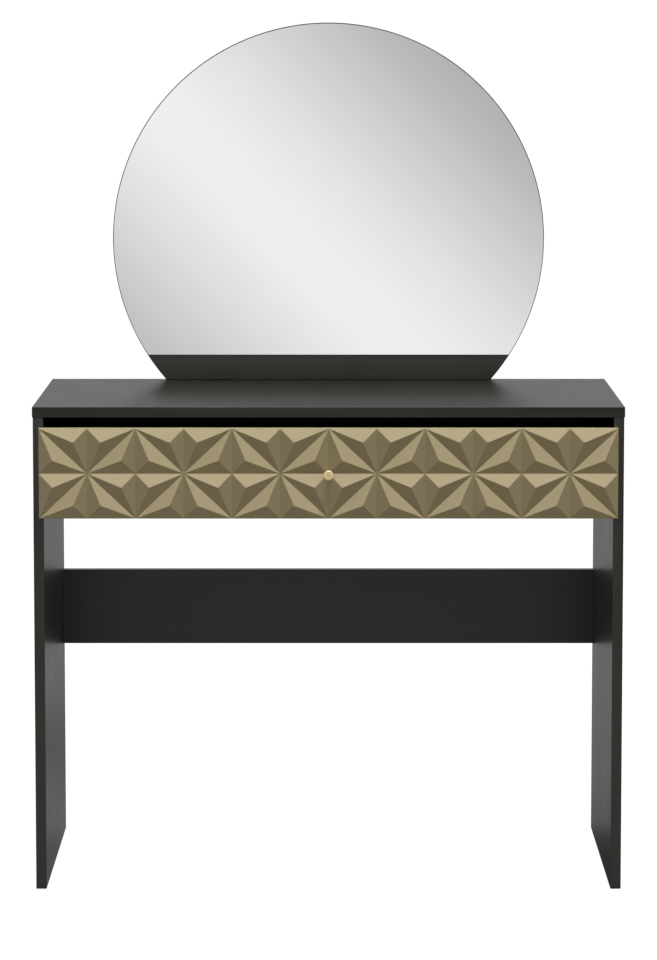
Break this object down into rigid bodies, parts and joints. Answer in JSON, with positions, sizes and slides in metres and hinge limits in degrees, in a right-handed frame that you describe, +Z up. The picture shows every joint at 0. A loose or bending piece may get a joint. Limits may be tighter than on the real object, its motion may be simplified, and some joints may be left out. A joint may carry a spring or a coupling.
{
  "type": "vanity table with mirror",
  "caption": "Dark vanity table with panel sides, a wide gold drawer front of raised triangles, a small brass knob and a round mirror standing on its back edge.",
  "frame": {"origin": "centre of the whole object's footprint, on the floor under the glides", "axes": "+Z up, +Y from the user toward the mirror and the wall, +X to the user's right"},
  "size_m": [0.902, 0.439, 1.3299],
  "materials": {
    "dark_laminate": "graphite laminated board, fine satin texture, matching edge bands",
    "gold_lacquer": "olive gold satin lacquer on shaped board",
    "drawer_board": "dark grey foil wrapped board",
    "drawer_bottom_board": "thin lacquered fibreboard",
    "mirror": "clear silvered float glass, ground edge",
    "foam_tape": "black foam mounting tape",
    "beech": "fluted beech dowel",
    "zinc_steel": "zinc plated steel",
    "runner_steel": "bright zinc plated cold formed sheet",
    "cage_steel": "thin pressed steel strip",
    "ball_steel": "polished bearing steel",
    "brass": "satin turned brass",
    "black_plastic": "moulded black plastic",
    "clear_bumper": "soft translucent bumper"
  },
  "bodies": {
    "frame": {"table_top": "dark_laminate", "left_side_panel": "dark_laminate", "right_side_panel": "dark_laminate", "upper_back_rail": "dark_laminate", "lower_back_rail": "dark_laminate", "mirror_backing_board": "dark_laminate", "mirror_glass": "mirror", "mirror_mounting_tapes": "foam_tape", "mirror_dowels": "beech", "mirror_tie_plates": "zinc_steel", "tie_plate_screws": "zinc_steel", "top_cam_locks": "zinc_steel", "top_cam_bolts": "zinc_steel", "top_dowels": "beech", "rail_cam_locks": "zinc_steel", "rail_cam_bolts": "zinc_steel", "rail_dowels": "beech", "cam_cover_caps": "black_plastic", "floor_glides": "black_plastic", "glide_nails": "zinc_steel", "left_runner_cabinet_member": "runner_steel", "right_runner_cabinet_member": "runner_steel", "runner_cabinet_screws": "zinc_steel"},
    "drawer": {"drawer_front": "gold_lacquer", "drawer_left_side": "drawer_board", "drawer_right_side": "drawer_board", "drawer_back": "drawer_board", "drawer_bottom": "drawer_bottom_board", "drawer_knob": "brass", "knob_screw": "zinc_steel", "drawer_cam_locks": "zinc_steel", "drawer_cam_bolts": "zinc_steel", "drawer_dowels": "beech", "drawer_cam_caps": "black_plastic", "drawer_back_screws": "zinc_steel", "drawer_bottom_screws": "zinc_steel", "left_runner_drawer_member": "runner_steel", "right_runner_drawer_member": "runner_steel", "runner_drawer_screws": "zinc_steel", "drawer_bumpers": "clear_bumper"},
    "runner_middles": {"left_runner_middle_member": "runner_steel", "right_runner_middle_member": "runner_steel"},
    "outer_cages": {"left_outer_ball_cage": "cage_steel", "right_outer_ball_cage": "cage_steel", "outer_runner_balls": "ball_steel"},
    "inner_cages": {"left_inner_ball_cage": "cage_steel", "right_inner_ball_cage": "cage_steel", "inner_runner_balls": "ball_steel"}
  },
  "joints": [
    {"name": "drawer_slide", "type": "slide", "parent": "frame", "child": "drawer", "axis": [0, -1, 0], "range_m": [0, 0.35]},
    {"name": "runner_middle_slide", "type": "slide", "parent": "frame", "child": "runner_middles", "axis": [0, -1, 0], "range_m": [0, 0.175]},
    {"name": "outer_cage_slide", "type": "slide", "parent": "frame", "child": "outer_cages", "axis": [0, -1, 0], "range_m": [0, 0.0875]},
    {"name": "inner_cage_slide", "type": "slide", "parent": "frame", "child": "inner_cages", "axis": [0, -1, 0], "range_m": [0, 0.2625]}
  ],
  "couplings": [
    {"joint": "runner_middle_slide", "follows": "drawer_slide", "ratio": 0.5},
    {"joint": "outer_cage_slide", "follows": "drawer_slide", "ratio": 0.25},
    {"joint": "inner_cage_slide", "follows": "drawer_slide", "ratio": 0.75}
  ]
}
